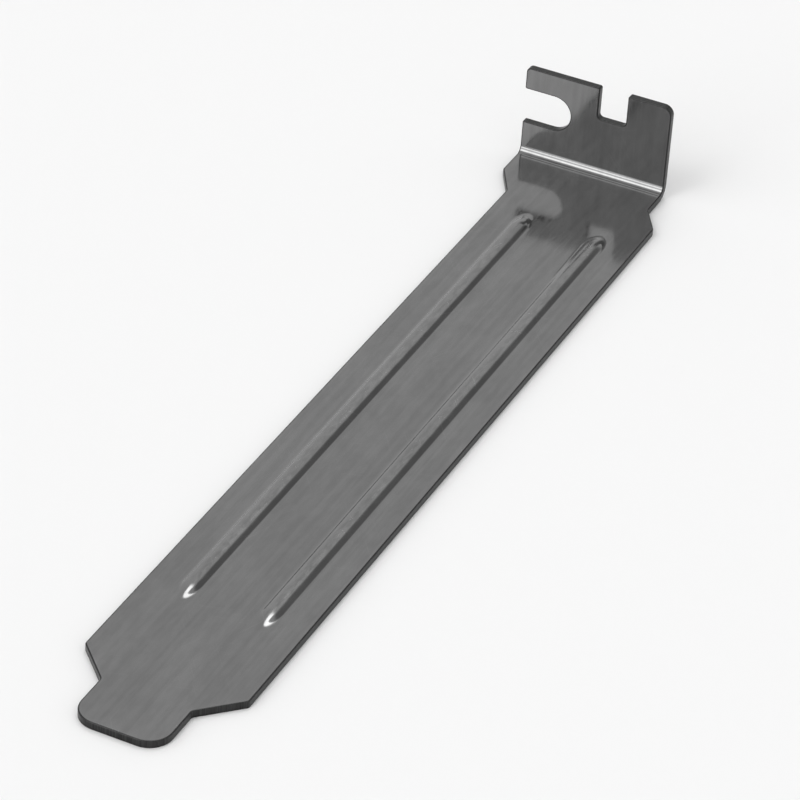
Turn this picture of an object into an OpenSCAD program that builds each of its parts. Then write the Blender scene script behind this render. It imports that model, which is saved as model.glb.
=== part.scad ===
// Cover bracket for one expansion slot of a computer case: a long blanking
// plate with a fastening tab bent up at its upper end, cut and folded from
// one sheet.
//
// It is drawn from three datums that meet at the root of the bend: x = 0 is
// the middle of the body, y = 0 the face of the tab that seats on the case,
// and z = 0 the underside of the body. The tongue points to -Y, the tab
// stands towards +Z. The finished bracket is then moved so that the origin
// is under the middle of its bounding box.

/* [Sheet] */
// Thickness of the sheet
sheet_t = 0.86; // [0.7:0.01:1.1]
// Inside radius of the bend between body and tab
bend_r = 0.9; // [0.5:0.1:1.5]

/* [Body] */
// Overall length, from the tab's back to the end of the tongue
overall_l = 120.02; // [80:0.01:150]
// Width of the body
body_w = 18.42; // [16:0.01:20]
// Width of the tongue
tongue_w = 10.19; // [8:0.01:12]
// Length of the tongue past its sloping shoulders
tongue_l = 6.41; // [5:0.01:12]
// Radius of the two corners at the end of the tongue
tongue_r = 2.6; // [0.5:0.1:3.5]
// Radius of the corners at the shoulders
shoulder_r = 0.6; // [0.2:0.1:2]

/* [Neck between tab and body] */
// How far the tab stands out past the body's left edge
tab_overhang = 2.4; // [1:0.1:3]
// How far the tab's right edge stands in from the body's right edge
tab_inset = 2.2; // [1:0.1:3]
// Distance from the tab's seat to where the left edge starts to slope
neck_left_start = 4.8; // [4:0.1:6]
// Distance from the tab's seat to where the left slope meets the body
neck_left_end = 9; // [7.5:0.1:11]
// Distance from the tab's seat to where the right edge starts to slope
neck_right_start = 4.4; // [4:0.1:6]
// Distance from the tab's seat to where the right slope meets the body
neck_right_end = 8; // [7.5:0.1:11]
// Radius of the four corners of the neck
neck_r = 1; // [0.3:0.1:1.5]

/* [Tab] */
// Height of the tab above the body's upper face
tab_h = 11.43; // [10.8:0.01:14]
// Radius of the tab's left top corner, at the tip of the finger
finger_r = 0.6; // [0.2:0.1:1]
// Radius of the tab's right top corner
tab_r = 1.2; // [0.3:0.1:2.5]

/* [Screw slot] */
// Width of the slot for the fastening screw
slot_w = 4.42; // [3.6:0.01:4.8]
// Depth of the slot, from the tab's left edge to its round end
slot_depth = 6.05; // [5:0.05:7.5]
// Height of the slot's middle above the body's upper face
slot_height = 6.35; // [5.8:0.01:7]

/* [Locating notch] */
// Width of the notch in the tab's top edge
notch_w = 3.6; // [2:0.1:4.5]
// Depth of the notch
notch_depth = 4.1; // [2:0.1:6]
// Distance from the tab's right edge to the middle of the notch
notch_from_right = 7.36; // [5.5:0.01:8]
// Radius of the notch's two inside corners
notch_r = 0.5; // [0.2:0.1:0.9]

/* [Stiffening beads] */
// Distance between the middles of the two beads
bead_spacing = 9.2; // [6:0.1:11]
// Width of a bead, blends included
bead_w = 2.9; // [2.4:0.1:3.6]
// Height of a bead
bead_h = 0.45; // [0.2:0.05:0.55]
// Radius of a bead's crown, on its raised side
bead_crown_r = 1.6; // [1.3:0.1:2.1]
// Length of the slope in which a bead runs out at each end
bead_end_l = 3.4; // [1.5:0.1:4]
// Distance from the tab's seat to the upper end of the beads
bead_start = 12.4; // [11.5:0.1:30]
// Distance from the lower end of the beads to the shoulders
bead_stop = 10.5; // [2:0.1:30]

/* [Hidden] */
$fn = 64;

// steps in each small corner of an outline
corner_steps = 8;
// room that a cutting shape runs past what it cuts
past = 1;

// body outline, from the seat of the tab to the end of the tongue
tongue_end = -(overall_l - sheet_t);
shoulder_end = tongue_end + tongue_l;
shoulder_l = (body_w - tongue_w) / 2;
shoulder_start = shoulder_end + shoulder_l;
body_side = body_w / 2;
tongue_side = tongue_w / 2;

// tab outline
tab_left = -body_side - tab_overhang;
tab_right = body_side - tab_inset;
tab_foot = sheet_t + bend_r;
tab_top = sheet_t + tab_h;
notch_left = tab_right - notch_from_right - notch_w / 2;
notch_right = notch_left + notch_w;
notch_floor = tab_top - notch_depth;
notch_lip_r = notch_r / 2;
slot_end_x = tab_left + slot_depth - slot_w / 2;
slot_z = sheet_t + slot_height;

// bead section: a crown arc and a root arc on each side, which leave the
// plate and meet each other without a corner, at the same slope
bead_side = bead_w / 2;
bead_slope = 2 * atan(bead_h / bead_side);
bead_root_r = bead_side / sin(bead_slope) - bead_crown_r;
bead_stretch = bead_end_l / bead_side;
bead_top_y = -bead_start - bead_end_l;
bead_low_y = shoulder_start + bead_stop + bead_end_l;
// flat brim round a bead, where its solid and the plate overlap
bead_brim = sheet_t / 3;

function flat(p) = [p[0], p[1]];
function unit(v) = v / norm(v);
function turned(v, a) = [v[0] * cos(a) - v[1] * sin(a), v[0] * sin(a) + v[1] * cos(a)];

// one corner [x, y, radius] between its neighbours a and c, as an arc
function corner(a, b, c) =
    let (
        to_a = unit(flat(a) - flat(b)),
        to_c = unit(flat(c) - flat(b)),
        half = acos(to_a * to_c) / 2,
        centre = flat(b) + unit(to_a + to_c) * b[2] / sin(half),
        start = flat(b) + to_a * b[2] / tan(half) - centre,
        turn = (180 - 2 * half) * (cross(to_a, to_c) > 0 ? -1 : 1)
    )
    b[2] == 0 ? [flat(b)] : [
        for (i = [0:corner_steps]) centre + turned(start, turn * i / corner_steps)
    ];

// all points of an outline given by its corners [x, y, radius]
function rounded(corners) =
    let (n = len(corners))
    [for (i = [0:n - 1])
        each corner(corners[(i + n - 1) % n], corners[i], corners[(i + 1) % n])];

// part of a flat ring between two angles less than 180 degrees apart
module ring_sector(r_in, r_out, a_start, a_end) {
    reach = 1.2 * r_out / cos((a_end - a_start) / 2);
    intersection() {
        difference() {
            circle(r_out);
            circle(r_in);
        }
        polygon([
            [0, 0],
            reach * [cos(a_start), sin(a_start)],
            reach * [cos(a_end), sin(a_end)]
        ]);
    }
}

// ---- body ----

module body_outline() {
    polygon(rounded([
        [tab_left, -bend_r, 0],
        [tab_left, -neck_left_start, neck_r],
        [-body_side, -neck_left_end, neck_r],
        [-body_side, shoulder_start, shoulder_r],
        [-tongue_side, shoulder_end, shoulder_r],
        [-tongue_side, tongue_end, tongue_r],
        [tongue_side, tongue_end, tongue_r],
        [tongue_side, shoulder_end, shoulder_r],
        [body_side, shoulder_start, shoulder_r],
        [body_side, -neck_right_end, neck_r],
        [tab_right, -neck_right_start, neck_r],
        [tab_right, -bend_r, 0]
    ]));
}

// the opening that the plate leaves for a bead, whose edge lies under its brim
module bead_opening() {
    side = bead_side + bead_brim / 2;
    for (y = [bead_low_y, bead_top_y])
        translate([0, y]) scale([1, bead_stretch]) circle(side);
    translate([-side, bead_low_y]) square([2 * side, bead_top_y - bead_low_y]);
}

// right half of the sheet's section through a bead, from its middle outwards
module bead_half_section() {
    mid_r = bead_crown_r - sheet_t / 2;
    translate([0, sheet_t + bead_h - bead_crown_r])
        ring_sector(bead_crown_r - sheet_t, bead_crown_r, 90 - bead_slope, 90);
    translate([bead_side, sheet_t + bead_root_r])
        ring_sector(bead_root_r, bead_root_r + sheet_t, 270 - bead_slope, 270);
    translate([bead_side, 0]) square([bead_brim, sheet_t]);
    // inside the sheet, it holds the two arcs together where they meet
    translate([mid_r * sin(bead_slope), sheet_t + bead_h - bead_crown_r + mid_r * cos(bead_slope)])
        circle(sheet_t / 3);
}

module bead_end() {
    scale([1, bead_stretch, 1]) rotate_extrude(angle = 180) bead_half_section();
}

module bead() {
    translate([0, bead_top_y, 0])
        rotate([90, 0, 0])
            linear_extrude(bead_top_y - bead_low_y) {
                bead_half_section();
                mirror([1, 0]) bead_half_section();
            }
    translate([0, bead_top_y, 0]) bead_end();
    translate([0, bead_low_y, 0]) rotate([0, 0, 180]) bead_end();
}

module body_plate() {
    linear_extrude(sheet_t)
        difference() {
            body_outline();
            for (side = [-1, 1]) translate([side * bead_spacing / 2, 0]) bead_opening();
        }
    for (side = [-1, 1]) translate([side * bead_spacing / 2, 0, 0]) bead();
}

// ---- bend and tab ----

module bend() {
    translate([tab_left, -bend_r, tab_foot])
        rotate([90, 0, 90])
            linear_extrude(tab_right - tab_left)
                ring_sector(bend_r, bend_r + sheet_t, -90, 0);
}

module tab_outline() {
    polygon(rounded([
        [tab_left, tab_foot, 0],
        [tab_left, tab_top, finger_r],
        [notch_left, tab_top, notch_lip_r],
        [notch_left, notch_floor, notch_r],
        [notch_right, notch_floor, notch_r],
        [notch_right, tab_top, notch_lip_r],
        [tab_right, tab_top, tab_r],
        [tab_right, tab_foot, 0]
    ]));
}

module screw_slot() {
    translate([slot_end_x, slot_z]) circle(d = slot_w);
    translate([tab_left - past, slot_z - slot_w / 2]) square([slot_end_x - tab_left + past, slot_w]);
}

module tab() {
    translate([0, sheet_t, 0])
        rotate([90, 0, 0])
            linear_extrude(sheet_t)
                difference() {
                    tab_outline();
                    screw_slot();
                }
}

module bracket() {
    color("silver")
        translate([tab_overhang / 2, overall_l / 2 - sheet_t, 0]) {
            body_plate();
            bend();
            tab();
        }
}

bracket();
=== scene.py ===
"""Cover bracket for an expansion slot: one folded sheet of bright plated steel.

The lengths in the shape code are millimetres. The sheet is worked out flat
first: x runs across it, s runs along it from the tongue to the tab, with s = 0
where the bend begins, and h is the height over the face that the tab stands
on. The last step folds it and writes it in metres in the row frame.
"""
import math

import bmesh
import bpy
import numpy as np
from mathutils import Matrix, Vector


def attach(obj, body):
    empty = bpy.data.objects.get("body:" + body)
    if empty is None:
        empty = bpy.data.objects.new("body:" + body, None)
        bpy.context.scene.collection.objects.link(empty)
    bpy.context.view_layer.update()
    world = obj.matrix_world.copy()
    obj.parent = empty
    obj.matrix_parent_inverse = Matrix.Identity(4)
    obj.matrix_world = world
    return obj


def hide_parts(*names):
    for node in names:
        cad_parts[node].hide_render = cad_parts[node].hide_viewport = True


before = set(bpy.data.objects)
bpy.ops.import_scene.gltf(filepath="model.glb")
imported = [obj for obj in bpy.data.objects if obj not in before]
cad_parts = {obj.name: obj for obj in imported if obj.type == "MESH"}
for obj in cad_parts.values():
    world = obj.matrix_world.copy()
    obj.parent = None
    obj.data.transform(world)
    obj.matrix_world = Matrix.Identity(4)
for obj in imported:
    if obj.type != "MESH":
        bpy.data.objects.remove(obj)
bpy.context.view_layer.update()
MM = 0.001

# ---- sizes, as in the part's source ----

SHEET_T, BEND_R = 0.86, 0.9
OVERALL_L, BODY_W = 120.02, 18.42
TONGUE_W, TONGUE_L, TONGUE_R, SHOULDER_R = 10.19, 6.41, 2.6, 0.6
TAB_OVERHANG, TAB_INSET = 2.4, 2.2
NECK_LEFT, NECK_RIGHT, NECK_R = (4.8, 9.0), (4.4, 8.0), 1.0
TAB_H, FINGER_R, TAB_R = 11.43, 0.6, 1.2
SLOT_W, SLOT_DEPTH, SLOT_HEIGHT, SLOT_LIP_R = 4.42, 6.05, 6.35, 0.2
NOTCH_W, NOTCH_DEPTH, NOTCH_FROM_RIGHT = 3.6, 4.1, 7.36
NOTCH_R, NOTCH_LIP_R = 0.5, 0.25
BEAD_SPACING, BEAD_W, BEAD_H, BEAD_CROWN_R, BEAD_END_L = 9.2, 2.9, 0.45, 1.6, 3.4
BEAD_START, BEAD_STOP = 12.4, 10.5

# radii of the cut edge at the upper and the lower face, and the flat beside them
ROLLED_R, BURR_R, FLAT_RIM = 0.13, 0.05, 0.02
# distance from an edge over which the rubbing fades
WEAR_L = 0.4

MID_BEND_R = BEND_R + SHEET_T / 2
BEND_L = MID_BEND_R * math.pi / 2
BODY_SIDE, TONGUE_SIDE = BODY_W / 2, TONGUE_W / 2
TAB_LEFT, TAB_RIGHT = -BODY_SIDE - TAB_OVERHANG, BODY_SIDE - TAB_INSET
ORIGIN = np.array([TAB_OVERHANG / 2, OVERALL_L / 2 - SHEET_T, 0.0])

BEAD_SIDE = BEAD_W / 2
BEAD_SLOPE = 2 * math.atan(BEAD_H / BEAD_SIDE)
BEAD_ROOT_R = BEAD_SIDE / math.sin(BEAD_SLOPE) - BEAD_CROWN_R
BEAD_STRETCH = BEAD_END_L / BEAD_SIDE


def on_body(y):
    """s of a line on the body, y being its distance past the tab's seat."""
    return y + BEND_R


def on_tab(z):
    """s of a line on the tab, z being its height over the body's upper face."""
    return BEND_L + z - BEND_R


S_END = on_body(SHEET_T - OVERALL_L)
S_TONGUE = S_END + TONGUE_L
S_SHOULDER = S_TONGUE + BODY_SIDE - TONGUE_SIDE
S_TOP = on_tab(TAB_H)
S_NOTCH = S_TOP - NOTCH_DEPTH
SLOT_R = SLOT_W / 2
S_SLOT_LOW, S_SLOT_TOP = on_tab(SLOT_HEIGHT - SLOT_R), on_tab(SLOT_HEIGHT + SLOT_R)
SLOT_END = TAB_LEFT + SLOT_DEPTH
NOTCH_RIGHT = TAB_RIGHT - NOTCH_FROM_RIGHT + NOTCH_W / 2
NOTCH_LEFT = NOTCH_RIGHT - NOTCH_W
S_BEAD_TOP = on_body(-BEAD_START) - BEAD_END_L
S_BEAD_LOW = S_SHOULDER + BEAD_STOP + BEAD_END_L

# ---- camera ----

CAMERA_AT = Vector((144.8, -322.3, 246.4)) * MM
# view axis and right-hand direction of the camera before it is turned to its aim
CAMERA_AXIS = Vector((-0.445, 0.738, -0.508)).normalized()
CAMERA_RIGHT = Vector((0.856, 0.517, 0.0)).normalized()
AIM = Vector((1.0, 3.0, 2.0)) * MM
# focal length and sensor in millimetres, near and far limit in metres
LENS, SENSOR_W, CLIP = 180.0, 36.0, (0.01, 20.0)


def make_camera():
    """A level camera with the given axis, turned to the aim by the shortest way."""
    data = bpy.data.cameras.new("camera")
    camera = bpy.data.objects.new("camera", data)
    bpy.context.scene.collection.objects.link(camera)
    up = CAMERA_RIGHT.cross(CAMERA_AXIS).normalized()
    right = CAMERA_AXIS.cross(up)
    turn = CAMERA_AXIS.rotation_difference((AIM - CAMERA_AT).normalized()).to_matrix()
    axes = turn @ Matrix((right, up, -CAMERA_AXIS)).transposed()
    camera.matrix_world = Matrix.Translation(CAMERA_AT) @ axes.to_4x4()
    data.sensor_width, data.lens = SENSOR_W, LENS
    data.clip_start, data.clip_end = CLIP
    bpy.context.scene.camera = camera


make_camera()

# ---- outline ----

# corners of the flat sheet as x, s and radius, with the sheet on their left
CORNERS = np.array([
    [-TONGUE_SIDE, S_END, TONGUE_R],
    [TONGUE_SIDE, S_END, TONGUE_R],
    [TONGUE_SIDE, S_TONGUE, SHOULDER_R],
    [BODY_SIDE, S_SHOULDER, SHOULDER_R],
    [BODY_SIDE, on_body(-NECK_RIGHT[1]), NECK_R],
    [TAB_RIGHT, on_body(-NECK_RIGHT[0]), NECK_R],
    [TAB_RIGHT, S_TOP, TAB_R],
    [NOTCH_RIGHT, S_TOP, NOTCH_LIP_R],
    [NOTCH_RIGHT, S_NOTCH, NOTCH_R],
    [NOTCH_LEFT, S_NOTCH, NOTCH_R],
    [NOTCH_LEFT, S_TOP, NOTCH_LIP_R],
    [TAB_LEFT, S_TOP, FINGER_R],
    [TAB_LEFT, S_SLOT_TOP, SLOT_LIP_R],
    [SLOT_END, S_SLOT_TOP, SLOT_R],
    [SLOT_END, S_SLOT_LOW, SLOT_R],
    [TAB_LEFT, S_SLOT_LOW, SLOT_LIP_R],
    [TAB_LEFT, on_body(-NECK_LEFT[0]), NECK_R],
    [-BODY_SIDE, on_body(-NECK_LEFT[1]), NECK_R],
    [-BODY_SIDE, S_SHOULDER, SHOULDER_R],
    [-TONGUE_SIDE, S_TONGUE, SHOULDER_R],
])
# steps in the arc of a corner
ARC_STEPS = 9
# how far the rim reaches in over a face
RIM = ROLLED_R + FLAT_RIM


def cut_line(corners):
    """The outline as points and outward normals, one arc for each corner.

    An arc touches both edges of its corner: its centre lies on the line that
    halves the corner, radius / sin(half angle) away from it.
    """
    tip, radius = corners[:, :2], corners[:, 2:]
    back = np.roll(tip, 1, axis=0) - tip
    ahead = np.roll(tip, -1, axis=0) - tip
    back /= np.linalg.norm(back, axis=1, keepdims=True)
    ahead /= np.linalg.norm(ahead, axis=1, keepdims=True)
    half = np.arccos(np.clip((back * ahead).sum(1), -1, 1)) / 2
    middle = back + ahead
    middle /= np.linalg.norm(middle, axis=1, keepdims=True)
    across = ahead - back
    across /= np.linalg.norm(across, axis=1, keepdims=True)
    sweep = np.linspace(-1, 1, ARC_STEPS + 1) * (math.pi / 2 - half)[:, None]
    spoke = (np.sin(sweep)[..., None] * across[:, None]
             - np.cos(sweep)[..., None] * middle[:, None])
    centre = tip + middle * radius / np.sin(half)[:, None]
    outwards = np.sign(ahead[:, 0] * back[:, 1] - ahead[:, 1] * back[:, 0])
    return centre[:, None] + radius[:, None] * spoke, spoke * outwards[:, None, None]


POINTS, NORMALS = cut_line(CORNERS)


def side(*corners):
    """A stretch of the outline over some corners, sorted by s.

    A row holds s and x of the place where the rim begins, and the normal.
    """
    at = (POINTS - RIM * NORMALS)[list(corners)].reshape(-1, 2)
    out = NORMALS[list(corners)].reshape(-1, 2)
    stretch = np.concatenate([at[:, ::-1], out], axis=1)
    return stretch[np.argsort(stretch[:, 0], kind="stable")]


def along(line, s):
    """The x of a side line at the rows s."""
    return np.interp(s, line[:, 0], line[:, 1])


def plumb(x):
    """A straight line of one x, in the form of a side line."""
    return np.array([[S_END, x, 0, 0], [S_TOP, x, 0, 0]])


# ---- bands of the sheet ----

# The numbers are places in CORNERS. A side line runs along one side of a band, and a
# guide is a side line without the slot or the notch.
LEFT = side(15, 16, 17, 18, 19, 0)
RIGHT = side(1, 2, 3, 4, 5, 6)
SLOT_SIDE, FINGER_SIDE = side(13, 14), side(11, 12)
NOTCH_LEFT_SIDE, NOTCH_RIGHT_SIDE = side(9, 10), side(7, 8)
LEFT_GUIDE = np.vstack([side(16, 17, 18, 19, 0), [[S_TOP, TAB_LEFT + RIM, -1, 0]]])
RIGHT_GUIDE = np.vstack([side(1, 2, 3, 4, 5), [[S_TOP, TAB_RIGHT - RIM, 1, 0]]])
TAB_SPAN = TAB_RIGHT - TAB_LEFT - 2 * RIM
SLOT_LINE, NOTCH_LINES = SLOT_END - SLOT_R, (NOTCH_LEFT + NOTCH_R, NOTCH_RIGHT - NOTCH_R)
# shares of the tab's width at which bands meet: left, slot, both sides of the notch, right
KEYS = np.array([0, *[(x - TAB_LEFT - RIM) / TAB_SPAN for x in (SLOT_LINE, *NOTCH_LINES)], 1])
# widest gap between two columns, as a share of the width, and between two rows
COLUMN_GAP, ROW_GAP = 0.04, 1.2
# columns over a bead, rows over a bead's end and over the bend, all close together
BEAD_COLUMNS, END_ROWS, BEND_ROWS = 37, 45, 29
# how far the close columns and rows reach, as a share of the bead's half width or end
CLOSE_REACH = 1.06
# distances of the close columns from both sides of the body
SIDE_COLUMNS = np.array([0.12, 0.28, 0.5, 0.8])
# a row within this distance of a band's end belongs to that end
END_ROOM = 1e-3


def sorted_once(values):
    """The values of some arrays in order, each once; they count as equal to a millionth."""
    return np.unique(np.round(np.concatenate(values), 6))


def filled(values, gap):
    """Sorted values with extra ones wherever two neighbours are more than gap apart."""
    values = sorted_once(values)
    counts = np.maximum(np.ceil(np.diff(values) / gap), 1).astype(int)
    steps = np.repeat(np.diff(values) / counts, counts)
    return values[0] + np.concatenate([[0], np.cumsum(steps)])


def bead_columns():
    """Shares of the body's width at which columns run close together, over both beads."""
    near = np.linspace(-CLOSE_REACH, CLOSE_REACH, BEAD_COLUMNS) * BEAD_SIDE
    x = np.concatenate([near - BEAD_SPACING / 2, near + BEAD_SPACING / 2])
    return (x + BODY_SIDE - RIM) / (BODY_W - 2 * RIM)


def side_columns():
    """Shares of the body's width close to both sides, where wear fades in from the edges."""
    near = SIDE_COLUMNS / (BODY_W - 2 * RIM)
    return np.concatenate([near, 1 - near])


SHARES = filled([KEYS, bead_columns(), side_columns()], COLUMN_GAP)
KEY_AT = np.abs(SHARES[:, None] - KEYS).argmin(axis=0)
SHARES[KEY_AT] = KEYS


def rows(low, high, *lines):
    """The rows of a band: every point of its side lines, close together at bead ends and bend."""
    over_end = np.linspace(-CLOSE_REACH, CLOSE_REACH, END_ROWS) * BEAD_END_L
    fine = np.concatenate([S_BEAD_TOP + over_end, S_BEAD_LOW + over_end,
                           np.linspace(0, BEND_L, BEND_ROWS), *[line[:, 0] for line in lines]])
    inside = (fine > low + END_ROOM) & (fine < high - END_ROOM)
    return filled([[low, high], fine[inside]], ROW_GAP)


def band(s, first, *lines):
    """A grid of the sheet between side lines, which stand at the keys from first on.

    Between two lines the columns keep their shares of the way across.
    """
    keys = KEYS[first:first + len(lines)]
    share = SHARES[KEY_AT[first]:KEY_AT[first + len(lines) - 1] + 1]
    part = np.clip(np.searchsorted(keys, share, side="right") - 1, 0, len(keys) - 2)
    way = (share - keys[part]) / (keys[part + 1] - keys[part])
    at = np.stack([along(line, s) for line in lines], axis=1)
    x = at[:, part] * (1 - way) + at[:, part + 1] * way
    return x, np.broadcast_to(s[:, None], x.shape)


def guide(key):
    """The line in the stem that keeps one key share of the width."""
    s = sorted_once([LEFT_GUIDE[:, 0], RIGHT_GUIDE[:, 0]])
    x = along(LEFT_GUIDE, s) * (1 - KEYS[key]) + along(RIGHT_GUIDE, s) * KEYS[key]
    return np.stack([s, x, 0 * s, 0 * s], axis=1)


def face_bands():
    """Stem, the two bands beside the slot, the horn right of the notch, and the finger.

    The stem is the body, the bend and the tab up to the slot.
    """
    low, top = S_SLOT_LOW - RIM, S_SLOT_TOP + RIM
    floor, tip = S_NOTCH - RIM, S_TOP - RIM
    notch = [plumb(x) for x in NOTCH_LINES]
    stem = band(rows(S_END + RIM, low, LEFT, RIGHT), 0, LEFT, guide(1), guide(2), guide(3), RIGHT)
    beside = band(rows(low, floor, SLOT_SIDE), 1, SLOT_SIDE, *notch, RIGHT)
    over = band(rows(floor, top, SLOT_SIDE, NOTCH_LEFT_SIDE), 1, SLOT_SIDE, NOTCH_LEFT_SIDE)
    horn = band(rows(floor, tip, NOTCH_RIGHT_SIDE, RIGHT), 3, NOTCH_RIGHT_SIDE, RIGHT)
    finger = band(rows(top, tip, FINGER_SIDE, NOTCH_LEFT_SIDE), 0,
                  FINGER_SIDE, plumb(SLOT_LINE), NOTCH_LEFT_SIDE)
    return stem, beside, over, horn, finger


def border(bands):
    """The closed line round the bands, with the sheet on its left: x, s and the normal."""
    stem, beside, over, horn, finger = bands
    slot_key, notch_keys = KEY_AT[1], KEY_AT[2:4] - KEY_AT[1]

    def edge(grid, line, column, up):
        """One column of a grid, with the normals of its side line."""
        x, s = grid[0][:, column], grid[1][:, column]
        out = np.stack([np.interp(s, line[:, 0], line[:, i]) for i in (2, 3)], axis=1)
        out /= np.linalg.norm(out, axis=1, keepdims=True)
        run = np.column_stack([x, s, out])
        return run if up else run[::-1]

    def level(grid, row, columns, up, rightwards):
        """Some columns of one row of a grid, with a normal along s."""
        x, s = grid[0][row, columns], grid[1][row, columns]
        run = np.column_stack([x, s, 0 * x, 0 * x + up])
        return run if rightwards else run[::-1]

    whole = slice(None)
    runs = [
        level(stem, 0, whole, -1, True),
        edge(stem, RIGHT, -1, True),
        edge(beside, RIGHT, -1, True),
        edge(horn, RIGHT, -1, True),
        level(horn, -1, whole, 1, False),
        edge(horn, NOTCH_RIGHT_SIDE, 0, False),
        level(beside, -1, slice(notch_keys[0], notch_keys[1] + 1), 1, False),
        edge(over, NOTCH_LEFT_SIDE, -1, True),
        edge(finger, NOTCH_LEFT_SIDE, -1, True),
        level(finger, -1, whole, 1, False),
        edge(finger, FINGER_SIDE, 0, False),
        level(finger, 0, slice(0, slot_key + 1), -1, True),
        edge(over, SLOT_SIDE, 0, False),
        edge(beside, SLOT_SIDE, 0, False),
        level(stem, -1, slice(0, slot_key + 1), 1, False),
        edge(stem, LEFT, 0, False),
    ]
    line = np.concatenate([run[:-1] for run in runs])
    return np.vstack([line, line[:1]])


# ---- folding and pressing ----

def folded(x, s, h):
    """Places points of the sheet in the row frame, in metres.

    On the body the sheet lies flat, on the tab it stands up, and between them
    it runs round a quarter circle whose radius is the inner one less h.
    """
    turn = np.clip(s, 0, BEND_L) / MID_BEND_R
    radius = BEND_R - h
    y = -BEND_R + np.minimum(s, 0) + radius * np.sin(turn)
    z = SHEET_T + BEND_R - radius * np.cos(turn) + np.maximum(s - BEND_L, 0)
    return (np.stack([x + 0 * y, y, z], axis=-1) + ORIGIN) * MM


def bead_rise(x, s, thinner):
    """Height of the two beads over a face; thinner takes the crown's radius in to the lower face.

    It depends only on the distance from the bead's middle line: a crown arc
    near it, then a root arc that meets the flat sheet without a corner. The
    distance counts less beyond the middle line's ends, so the bead runs out
    in a longer slope there.
    """
    crown_r, root_r = BEAD_CROWN_R - thinner, BEAD_ROOT_R + thinner
    beyond = (s - np.clip(s, S_BEAD_LOW, S_BEAD_TOP)) / BEAD_STRETCH
    d = np.hypot(np.abs(x) - BEAD_SPACING / 2, beyond)
    crown = BEAD_H - crown_r + np.sqrt(np.maximum(crown_r**2 - d**2, 0))
    root = root_r - np.sqrt(np.maximum(root_r**2 - (BEAD_SIDE - d) ** 2, 0))
    rise = np.where(d < crown_r * math.sin(BEAD_SLOPE), crown, root)
    return np.where(d < BEAD_SIDE, rise, 0)


# steps in the small rounding of a cut edge
ROUNDING_STEPS = 5
# least square of a step's length, where two arcs of the outline meet in one point
LEAST_SQUARE = 1e-12


def rim_profile():
    """The cut edge from face to face: distance in from the outline, and h.

    The blanking punch rolls the upper edge over in a quarter circle, and the
    lower edge has a much smaller one.
    """
    turn = np.linspace(0, math.pi / 2, ROUNDING_STEPS + 1)

    def rounding(r):
        return np.stack([r * (1 - np.sin(turn)), -r * (1 - np.cos(turn))], axis=1)

    upper, lower = rounding(ROLLED_R), rounding(BURR_R)[::-1]
    lower = np.stack([lower[:, 0], -SHEET_T - lower[:, 1]], axis=1)
    return np.concatenate([
        [[RIM, 0]], upper,
        [[0, -ROLLED_R - FLAT_RIM], [0, BURR_R + FLAT_RIM - SHEET_T]],
        lower, [[RIM, -SHEET_T]],
    ])


def edge_distance(x, s):
    """Distance of flat points from the outline, the least one over its straight steps.

    Points are complex numbers. The nearest place on a step is the foot of the
    perpendicular, kept within the step.
    """
    line = POINTS.reshape(-1, 2) @ (1, 1j)
    step = np.roll(line, -1) - line
    away = (x + 1j * s)[..., None] - line
    square = np.maximum(abs(step) ** 2, LEAST_SQUARE)
    foot = np.clip((away * step.conj()).real / square, 0, 1)
    return abs(away - foot * step).min(axis=-1)


def rubbed(x, s, h):
    """How much a place is rubbed, from 0 to 1.

    It fades with the distance from the outline as an exponential, and over a
    bead it rises with the square of the height.
    """
    crown = np.clip(h / BEAD_H, 0, 1) ** 2
    return np.maximum(np.exp(-edge_distance(x, s) / WEAR_L), crown)


def grid_faces(shape, start, flip):
    """The four-cornered faces of a grid of points, whose numbers begin at start."""
    at = start + np.arange(shape[0] * shape[1]).reshape(shape)
    quads = np.stack([at[:-1, :-1], at[:-1, 1:], at[1:, 1:], at[1:, :-1]], axis=-1).reshape(-1, 4)
    return quads[:, ::-1] if flip else quads


# points closer than this, in metres, are one point of the mesh
WELD = 1e-7


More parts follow.
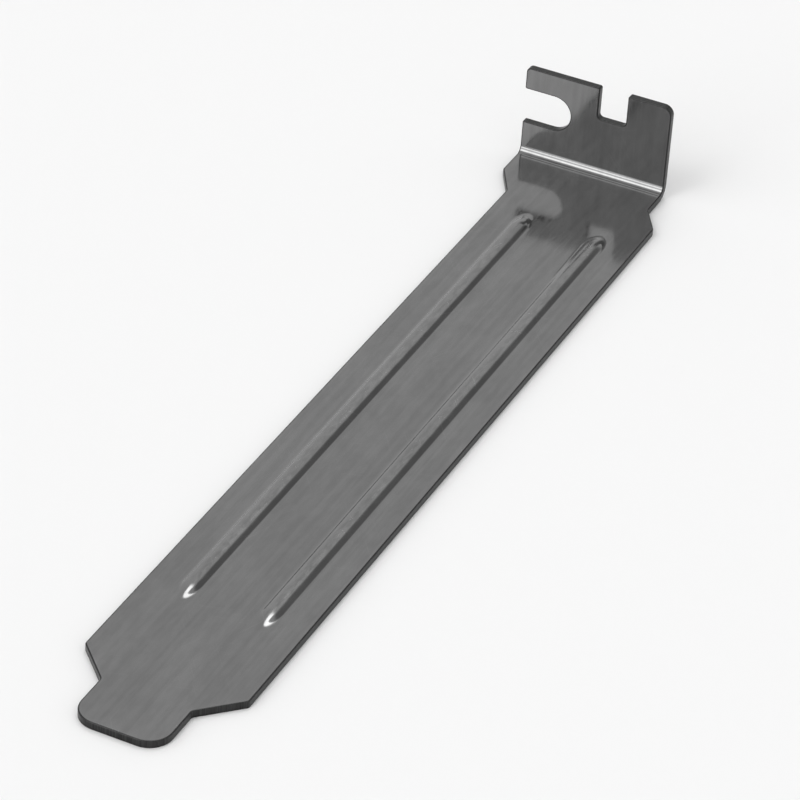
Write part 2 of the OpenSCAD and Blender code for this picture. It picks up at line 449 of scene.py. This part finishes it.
def build_sheet():
    """Both faces and the rim as one closed mesh, which replaces the plain bracket.

    UV holds the flat x and s in metres. The attribute cut is 1 on the rim, and
    rub says how much a place is rubbed.
    """
    bands = face_bands()
    line = border(bands)
    inward, h = rim_profile().T
    shift = (RIM - inward)[None, :, None] * line[:, None, 2:]
    rim = np.moveaxis(line[:, None, :2] + shift, -1, 0)
    # a grid holds x, s, h, whether its faces are turned over, and its value of cut
    grids = [(x, s, bead_rise(x, s, 0), False, 0) for x, s in bands]
    grids += [(x, s, bead_rise(x, s, SHEET_T) - SHEET_T, True, 0) for x, s in bands]
    grids.append((rim[0], rim[1], np.broadcast_to(h, rim[0].shape), False, 1))
    sizes = [g[0].size for g in grids]
    starts = np.cumsum([0, *sizes[:-1]])
    places = np.concatenate([folded(x, s, h).reshape(-1, 3) for x, s, h, _, _ in grids])
    flat = np.concatenate([np.stack([x, s], -1).reshape(-1, 2) for x, s, _, _, _ in grids]) * MM
    faces = [grid_faces(g[0].shape, start, g[3]) for g, start in zip(grids, starts)]
    cut = np.concatenate([np.full(4 * len(f), g[4], np.float32) for f, g in zip(faces, grids)])
    faces = np.concatenate(faces)
    rub = np.concatenate([rubbed(x, s, h).ravel() for x, s, h, _, _ in grids])[faces]

    mesh = bpy.data.meshes.new("bracket_sheet")
    mesh.from_pydata(places, [], faces)
    mesh.uv_layers.new(name="sheet").data.foreach_set("uv", flat[faces.ravel()].ravel())
    for name, values in (("cut", cut), ("rub", rub.ravel().astype(np.float32))):
        mesh.attributes.new(name, "FLOAT", "CORNER").data.foreach_set("value", values)
    merged = bmesh.new()
    merged.from_mesh(mesh)
    bmesh.ops.remove_doubles(merged, verts=merged.verts, dist=WELD)
    merged.to_mesh(mesh)
    merged.free()
    mesh.shade_smooth()
    piece = bpy.data.objects.new("bracket_sheet", mesh)
    bpy.context.scene.collection.objects.link(piece)
    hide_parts("bracket")
    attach(piece, "root")
    return piece


# ---- shader helpers ----

def put(tree, kind, values=(), **settings):
    """A node with its properties set, and some of its inputs set or linked by name or number."""
    node = tree.nodes.new("ShaderNode" + kind)
    for name, value in settings.items():
        setattr(node, name, value)
    for key, value in dict(values).items():
        if isinstance(value, bpy.types.NodeSocket):
            tree.links.new(value, node.inputs[key])
        else:
            node.inputs[key].default_value = value
    return node


def math_of(tree, operation, *values):
    """The result of a Math node."""
    return put(tree, "Math", enumerate(values), operation=operation).outputs[0]


def ramp_of(tree, value, low, high, to_low=0.0, to_high=1.0):
    """Value between low and high as a smooth step between the two results."""
    node = put(tree, "MapRange", {"Value": value, "From Min": low, "From Max": high,
                                  "To Min": to_low, "To Max": to_high},
               interpolation_type="SMOOTHSTEP")
    return node.outputs["Result"]


def mixed_level(tree, factor, low, high):
    """One value at factor 0 and the other at factor 1."""
    return put(tree, "Mix", {"Factor": factor, 2: low, 3: high}, data_type="FLOAT").outputs[0]


def noise_on(tree, place, across, lengthwise, detail, offset):
    """Noise on the flat sheet with cells of the given size in millimetres."""
    scaled = put(tree, "Mapping", {"Vector": place, "Location": (offset, offset, offset),
                                   "Scale": (1 / (across * MM), 1 / (lengthwise * MM), 1)})
    node = put(tree, "TexNoise", {"Vector": scaled.outputs[0], "Scale": 1.0, "Detail": detail,
                                  "Roughness": NOISE_ROUGHNESS}, noise_dimensions="2D")
    return node.outputs["Fac"]


# ---- finish ----

# the cut edge's colour is partly rough sheared steel and partly painted shade, dark enough to
# stand in for the shadow along the edges
STEEL, SHADED_CUT_STEEL = (0.21, 0.21, 0.21), (0.046, 0.046, 0.046)
NOISE_ROUGHNESS = 0.55
# noises: cell across and along the sheet in millimetres, detail, offset
GRAIN, STREAKS = (0.16, 9.0, 3.0, 0.0), (0.7, 45.0, 2.0, 7.0)
CLOUD, WAVES = (5.0, 11.0, 3.0, 19.0), (3.2, 14.0, 1.0, 31.0)
SHEAR, SCUFF = (0.12, 0.12, 2.0, 43.0), (0.5, 1.6, 3.0, 51.0)
MOTTLE = (0.9, 2.6, 3.0, 77.0)
# hairlines and the patches that they show in: cell across and along, detail, first offset
HAIR, HAIR_PATCH = (0.11, 9.0, 1.0, 5.0), (2.5, 12.0, 1.0, 60.0)
# directions of the hairlines, in degrees from the sheet's length
HAIR_TURNS = (24, -38, 71)

# values of a noise, or of the rubbing, between which its effect goes from none to full
WIDE_SPAN, SPAN, MOTTLE_SPAN = (0.25, 0.75), (0.3, 0.7), (0.35, 0.65)
CLOUD_SPAN, SCUFF_SPAN, RUB_SPAN = (0.35, 0.7), (0.35, 0.6), (0.2, 0.95)
HAIR_SPAN, PATCH_SPAN = (0.70, 0.76), (0.54, 0.64)
# share of the steel's colour, from the low to the high parts of a noise
CLOUD_TONE, STREAK_TONE, MOTTLE_TONE = (0.96, 1.04), (-0.04, 0.04), (-0.025, 0.03)
WORN_TONE, HAIR_TONE = 0.12, 0.08
SHEAR_TONE = (0.7, 1.3)
# roughness, in the same way
GRAIN_ROUGH, CLOUD_ROUGH, SHEAR_ROUGH = (0.07, 0.13), (0.0, 0.05), (0.28, 0.42)
WORN_ROUGH, HAIR_ROUGH = 0.10, 0.08
# depth of the relief in micrometres
WAVE_DEPTH, MOTTLE_DEPTH, STREAK_DEPTH, GRAIN_DEPTH, HAIR_DEPTH = 16.0, 1.2, 1.5, 0.3, -0.4
MICROMETRE = 0.001 * MM


def hairlines(tree, place):
    """Thin lines in a few directions, where a slow noise lets them show."""
    found = 0.0
    for number, angle in enumerate(HAIR_TURNS):
        turned = put(tree, "VectorRotate", {"Vector": place, "Angle": math.radians(angle)},
                     rotation_type="Z_AXIS").outputs[0]
        line = noise_on(tree, turned, *HAIR[:3], HAIR[3] + number)
        patch = noise_on(tree, turned, *HAIR_PATCH[:3], HAIR_PATCH[3] + number)
        shown = math_of(tree, "MULTIPLY", ramp_of(tree, line, *HAIR_SPAN),
                        ramp_of(tree, patch, *PATCH_SPAN))
        found = math_of(tree, "MAXIMUM", found, shown)
    return found


def plated_steel():
    """Bright plating over rolled steel.

    The rolling leaves streaks along the sheet, which turn the normal a little
    and change the gloss. The plating is cloudy over larger patches and mottled
    over small ones. Handling has left hairlines, and has rubbed the edges and
    bead crowns brighter and duller. The cut edge is darker, partly as rough
    sheared steel and partly as painted shade that stands in for the shadow
    along the edges, with shear marks through its thickness.
    """
    material = bpy.data.materials.new("plated_steel")
    material.use_nodes = True
    tree = material.node_tree
    shader = tree.nodes["Principled BSDF"]
    place = put(tree, "UVMap", uv_map="sheet").outputs["UV"]
    cut = put(tree, "Attribute", attribute_name="cut").outputs["Fac"]
    rub = put(tree, "Attribute", attribute_name="rub").outputs["Fac"]

    grain, streaks, cloud, waves, shear, scuff, mottle = (
        noise_on(tree, place, *noise)
        for noise in (GRAIN, STREAKS, CLOUD, WAVES, SHEAR, SCUFF, MOTTLE))
    hair = hairlines(tree, place)
    worn = math_of(tree, "MULTIPLY", ramp_of(tree, rub, *RUB_SPAN),
                   ramp_of(tree, scuff, *SCUFF_SPAN))

    tone = math_of(tree, "ADD", ramp_of(tree, streaks, *SPAN, *STREAK_TONE),
                   ramp_of(tree, cloud, *SPAN, *CLOUD_TONE))
    tone = math_of(tree, "ADD", tone, ramp_of(tree, mottle, *MOTTLE_SPAN, *MOTTLE_TONE))
    tone = math_of(tree, "MULTIPLY_ADD", worn, WORN_TONE, tone)
    tone = math_of(tree, "MULTIPLY_ADD", hair, HAIR_TONE, tone)
    face = put(tree, "VectorMath", {0: STEEL, "Scale": tone}, operation="SCALE").outputs[0]
    marks = ramp_of(tree, shear, *SPAN, *SHEAR_TONE)
    # the cut edge's colour, partly painted shade, varied by the shear marks
    edge = put(tree, "VectorMath", {0: SHADED_CUT_STEEL, "Scale": marks}, operation="SCALE").outputs[0]
    colour = put(tree, "Mix", {"Factor": cut, 6: face, 7: edge}, data_type="RGBA").outputs[2]
    tree.links.new(colour, shader.inputs["Base Color"])

    rough = math_of(tree, "ADD", ramp_of(tree, grain, *WIDE_SPAN, *GRAIN_ROUGH),
                    ramp_of(tree, cloud, *CLOUD_SPAN, *CLOUD_ROUGH))
    rough = math_of(tree, "MULTIPLY_ADD", worn, WORN_ROUGH, rough)
    rough = math_of(tree, "MULTIPLY_ADD", hair, HAIR_ROUGH, rough)
    edge_rough = ramp_of(tree, shear, *SPAN, *SHEAR_ROUGH)
    tree.links.new(mixed_level(tree, cut, rough, edge_rough), shader.inputs["Roughness"])

    normal = None
    for source, depth in ((waves, WAVE_DEPTH), (mottle, MOTTLE_DEPTH), (streaks, STREAK_DEPTH),
                          (grain, GRAIN_DEPTH), (hair, HAIR_DEPTH)):
        values = {"Height": source, "Distance": depth * MICROMETRE, "Strength": 1.0}
        if normal:
            values["Normal"] = normal
        normal = put(tree, "Bump", values).outputs["Normal"]
    tree.links.new(normal, shader.inputs["Normal"])
    shader.inputs["Metallic"].default_value = 1.0
    return material


sheet = build_sheet()
sheet.data.materials.append(plated_steel())

# ---- floor and studio ----

FLOOR_TONE, FLOOR_ROUGH = (0.83, 0.83, 0.83, 1), 0.9
# half of the floor's side, in metres
FLOOR_SIDE = 3.0
# how far the floor is under the part, and how close a ray starts that it lets through
FLOOR_GAP, OPEN_REACH = 0.02 * MM, 0.06 * MM
# half of the opening's width and length
OPENING = (7.0 * MM, 48.0 * MM)


def make_floor():
    """A wide pale floor under the part.

    The body covers an opening in it, and it lets through what comes from below
    and what leaves the faces that lie on it. So the underside is seen and lit.
    """
    mesh = bpy.data.meshes.new("floor")
    corners = [(i * x, j * y, -FLOOR_GAP) for x, y in ((FLOOR_SIDE, FLOOR_SIDE), OPENING)
               for i, j in ((-1, -1), (1, -1), (1, 1), (-1, 1))]
    mesh.from_pydata(corners, [], [(i, (i + 1) % 4, 4 + (i + 1) % 4, 4 + i) for i in range(4)])
    floor = bpy.data.objects.new("floor", mesh)
    bpy.context.scene.collection.objects.link(floor)
    material = bpy.data.materials.new("floor")
    material.use_nodes = True
    tree = material.node_tree
    shader = tree.nodes["Principled BSDF"]
    shader.inputs["Base Color"].default_value = FLOOR_TONE
    shader.inputs["Roughness"].default_value = FLOOR_ROUGH
    shader.inputs["Specular IOR Level"].default_value = 0.0
    reach = put(tree, "LightPath").outputs["Ray Length"]
    below = put(tree, "NewGeometry").outputs["Backfacing"]
    open_here = math_of(tree, "MAXIMUM", below, math_of(tree, "LESS_THAN", reach, OPEN_REACH))
    clear = put(tree, "BsdfTransparent").outputs[0]
    mixed = put(tree, "MixShader", {0: open_here, 1: shader.outputs[0], 2: clear}).outputs[0]
    tree.links.new(mixed, tree.nodes["Material Output"].inputs["Surface"])
    mesh.materials.append(material)


def direction(azimuth, elevation):
    """The unit vector to a place in the studio; azimuth 0 is +Y and 90 is +X."""
    a, e = math.radians(azimuth), math.radians(elevation)
    return (math.sin(a) * math.cos(e), math.cos(a) * math.cos(e), math.sin(e))


# level of the walls, of the backdrop as the camera sees it, and straight below
WALL, BACKDROP, UNDER = 0.84, 0.93, 0.26
# z of the direction between which the level rises from that below to that of the walls
UNDER_RISE = (-1.0, -0.3)
# z of the direction between which the lamps fade in over the horizon
LAMP_RISE = (0.0, 0.1)
# box lamps: the x of the direction at which each starts, is full, fades and ends, then
# the same for y, and its level
LAMPS = (
    ((-1.10, -1.00, -0.20, -0.08), (-1.10, -1.00, -0.36, -0.22), 1.7),
    ((-0.46, -0.40, -0.22, -0.12), (-0.80, -0.66, -0.46, -0.34), 4.3),
    ((-0.46, -0.40, -0.22, -0.12), (-1.10, -1.00, -0.92, -0.85), 3.9),
    ((-0.27, -0.19, 0.06, 0.14), (0.22, 0.30, 0.52, 0.62), 4.7),
)
# round grey screen: direction, cosines at which it ends and is full, level
SCREEN_AT, SCREEN_EDGE, SCREEN = direction(27, 38), (0.952, 0.984), 0.31


def make_studio():
    """A pale room with box lamps and a grey screen, which the metal shows."""
    world = bpy.data.worlds.new("studio")
    bpy.context.scene.world = world
    world.use_nodes = True
    tree = world.node_tree
    look = put(tree, "TexCoord").outputs["Generated"]
    axes = put(tree, "SeparateXYZ", {0: look}).outputs
    level = ramp_of(tree, axes["Z"], *UNDER_RISE, UNDER, WALL)
    for x_span, y_span, lamp in LAMPS:
        cover = ramp_of(tree, axes["Z"], *LAMP_RISE)
        for axis, (start, full, fade, end) in (("X", x_span), ("Y", y_span)):
            rise = ramp_of(tree, axes[axis], start, full)
            fall = ramp_of(tree, axes[axis], fade, end, 1.0, 0.0)
            cover = math_of(tree, "MULTIPLY", math_of(tree, "MULTIPLY", cover, rise), fall)
        level = mixed_level(tree, cover, level, lamp)
    near = put(tree, "VectorMath", {0: look, 1: SCREEN_AT}, operation="DOT_PRODUCT")
    level = mixed_level(tree, ramp_of(tree, near.outputs["Value"], *SCREEN_EDGE), level, SCREEN)
    seen = put(tree, "LightPath").outputs["Is Camera Ray"]
    level = mixed_level(tree, seen, level, BACKDROP)
    tree.links.new(level, tree.nodes["Background"].inputs["Color"])


make_floor()
make_studio()

bpy.context.scene.view_settings.view_transform = "Standard"
